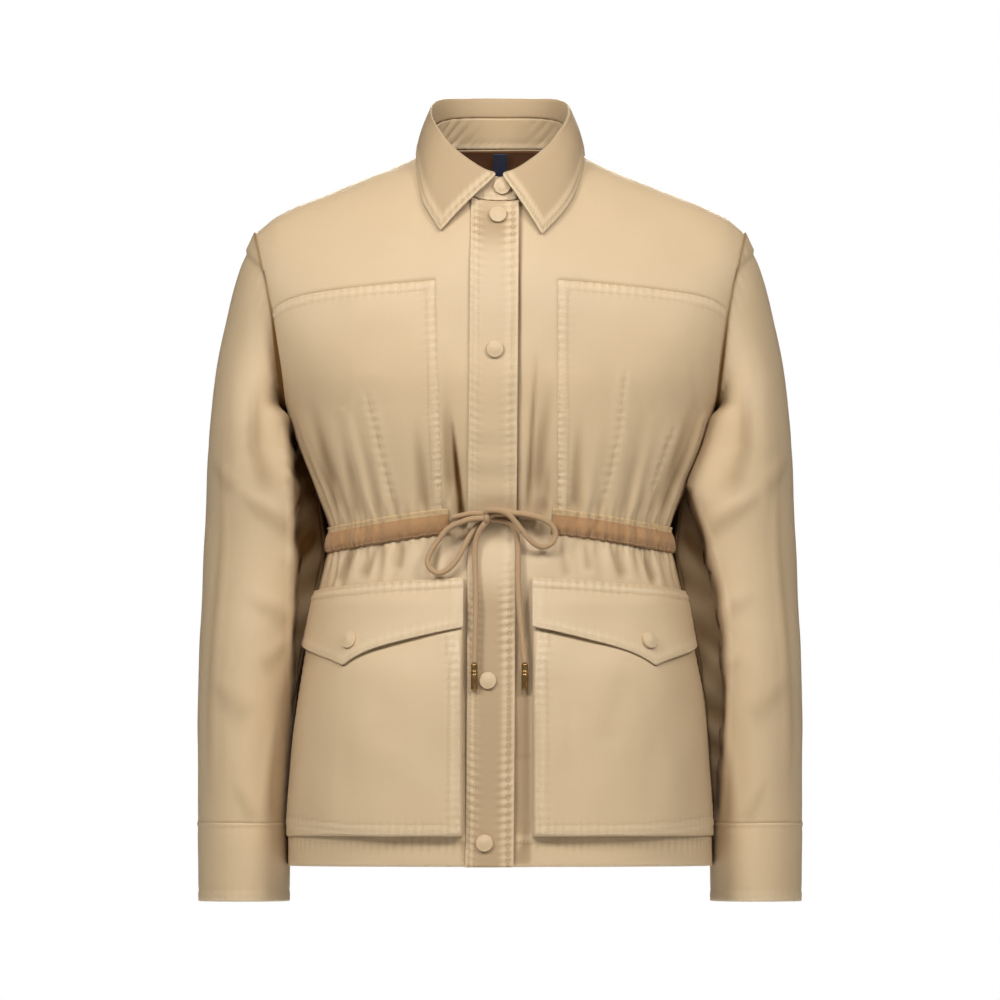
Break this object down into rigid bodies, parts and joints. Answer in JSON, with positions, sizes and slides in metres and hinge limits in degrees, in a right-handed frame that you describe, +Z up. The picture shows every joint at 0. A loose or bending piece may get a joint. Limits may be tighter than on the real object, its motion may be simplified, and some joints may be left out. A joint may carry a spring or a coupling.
{
  "type": "field jacket",
  "caption": "Women's cotton field jacket with shirt collar, snap placket, drawcord waist, and flapped patch pockets; hollow, as worn.",
  "frame": {"origin": "centre of the neck, level with the points where the shoulder seams meet it", "axes": "+Z up, front faces -Y, the wearer's left side is at +X"},
  "size_m": [0.5424, 0.256, 0.7218],
  "materials": {
    "cloth": "smooth tan cotton",
    "tape": "herringbone tape, darker tan",
    "facing": "brown cotton",
    "tab": "plain navy tape",
    "cord": "braided cotton cord",
    "tip": "antique brass"
  },
  "bodies": {
    "root": {"back": "cloth", "back_facing": "facing", "bow_knot": "cord", "collar_leaf": "cloth", "collar_stand": "cloth", "cord_end_left": "cord", "cord_end_right": "cord", "cord_lead_left": "cord", "cord_lead_right": "cord", "cord_loop_left": "cord", "cord_loop_right": "cord", "cord_tip_left": "tip", "cord_tip_right": "tip", "cuff_left": "cloth", "cuff_right": "cloth", "flap_left": "cloth", "flap_right": "cloth", "front_chest_left": "cloth", "front_chest_right": "cloth", "front_skirt_left": "cloth", "front_skirt_right": "cloth", "front_yoke_left": "cloth", "front_yoke_right": "cloth", "neck_tab": "tab", "placket": "cloth", "pocket_left": "cloth", "pocket_right": "cloth", "sleeve_left": "cloth", "sleeve_right": "cloth", "snap_flap_left": "cloth", "snap_flap_right": "cloth", "snap_front_1": "cloth", "snap_front_2": "cloth", "snap_front_3": "cloth", "snap_front_4": "cloth", "snap_stand": "cloth", "waist_tape": "tape"}
  },
  "joints": []
}
